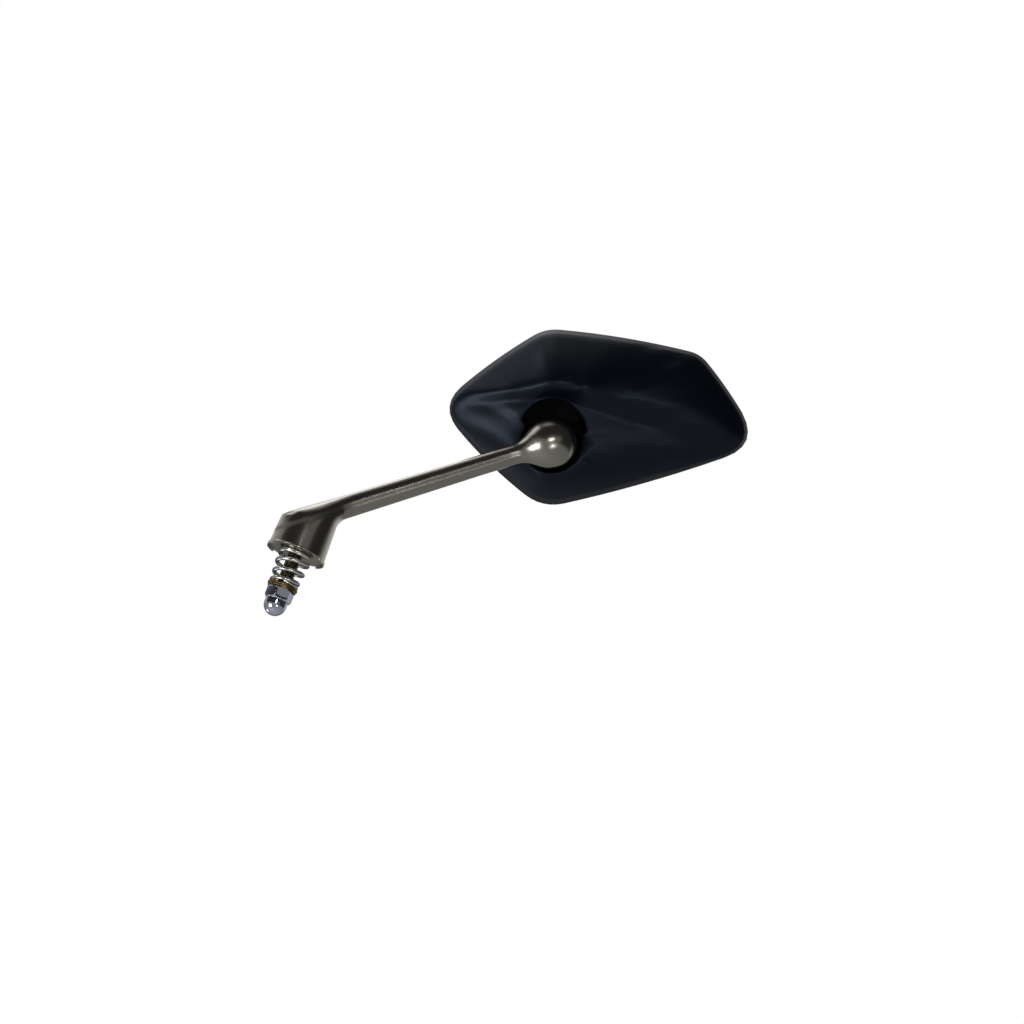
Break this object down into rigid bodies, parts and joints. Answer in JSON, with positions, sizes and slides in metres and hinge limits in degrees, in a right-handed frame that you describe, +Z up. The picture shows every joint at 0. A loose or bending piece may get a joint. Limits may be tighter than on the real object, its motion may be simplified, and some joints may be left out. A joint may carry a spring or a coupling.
{
  "type": "motorcycle mirror",
  "caption": "left-hand motorcycle mirror: convex glass in a pentagonal brow-backed housing, ball-jointed to a cast arm with a spring-clamped folding foot",
  "frame": {"origin": "centre of the seat cup's rim plane on the clamp stud's axis, where the mirror meets its bracket", "axes": "+Z up the clamp stud, +X outboard along the arm, +Y toward the rider, whom the glass faces"},
  "size_m": [0.2151, 0.0558, 0.2231],
  "materials": {
    "zinc_plate": "bright zinc plate",
    "spring_wire": "bright plated spring wire",
    "yellow_zinc": "yellow passivated",
    "nut_chrome": "polished chrome plate",
    "stud_steel": "yellow passivated steel",
    "arm_nickel": "warm grey satin nickel colour on cast zinc",
    "inner_steel": "zinc plated",
    "liner_plastic": "natural acetal",
    "carrier_plastic": "black glass-filled nylon",
    "screw_zinc": "zinc plated",
    "housing_plastic": "fine satin blue-black",
    "plate_plastic": "black moulded",
    "pad_foam": "black foam tape",
    "mirror": "silvered convex glass"
  },
  "bodies": {
    "base": {"seat_cup": "zinc_plate", "fold_spring": "spring_wire"},
    "clamp": {"spring_washer": "yellow_zinc", "plain_washer": "yellow_zinc"},
    "arm": {"arm": "arm_nickel", "clamp_stud": "stud_steel", "cap_nut": "nut_chrome", "joint_bolt": "inner_steel", "pressure_dome": "inner_steel", "disc_springs": "inner_steel", "joint_washer": "inner_steel"},
    "outer_ring": {"friction_liner": "liner_plastic"},
    "inner_ring": {"inner_liner": "liner_plastic"},
    "head": {"housing": "housing_plastic", "socket_carrier": "carrier_plastic", "carrier_screws": "screw_zinc", "backing_plate": "plate_plastic", "plate_screws": "screw_zinc", "adhesive_pad": "pad_foam", "mirror_glass": "mirror"}
  },
  "joints": [
    {"name": "fold_lift", "type": "slide", "parent": "base", "child": "clamp", "axis": [0, 0, 1], "range_m": [0, 0.002], "stiffness_N_per_m": 20000, "springref_m": -0.01, "deforming": ["fold_spring"]},
    {"name": "fold_turn", "type": "hinge", "parent": "clamp", "child": "arm", "pos_m": [0, 0, 0], "axis": [0, 0, 1], "range_deg": [-75, 75]},
    {"name": "head_pan", "type": "hinge", "parent": "arm", "child": "outer_ring", "pos_m": [0.10319, 0, 0.10942], "axis": [-0.373, -0.2401, 0.8962], "range_deg": [-12, 12]},
    {"name": "head_tilt", "type": "hinge", "parent": "outer_ring", "child": "inner_ring", "pos_m": [0.10319, 0, 0.10942], "axis": [0.9278, -0.0965, 0.3603], "range_deg": [-12, 12]},
    {"name": "head_roll", "type": "hinge", "parent": "inner_ring", "child": "head", "pos_m": [0.10319, 0, 0.10942], "axis": [0, -0.9659, -0.2588], "range_deg": [-20, 20]}
  ]
}
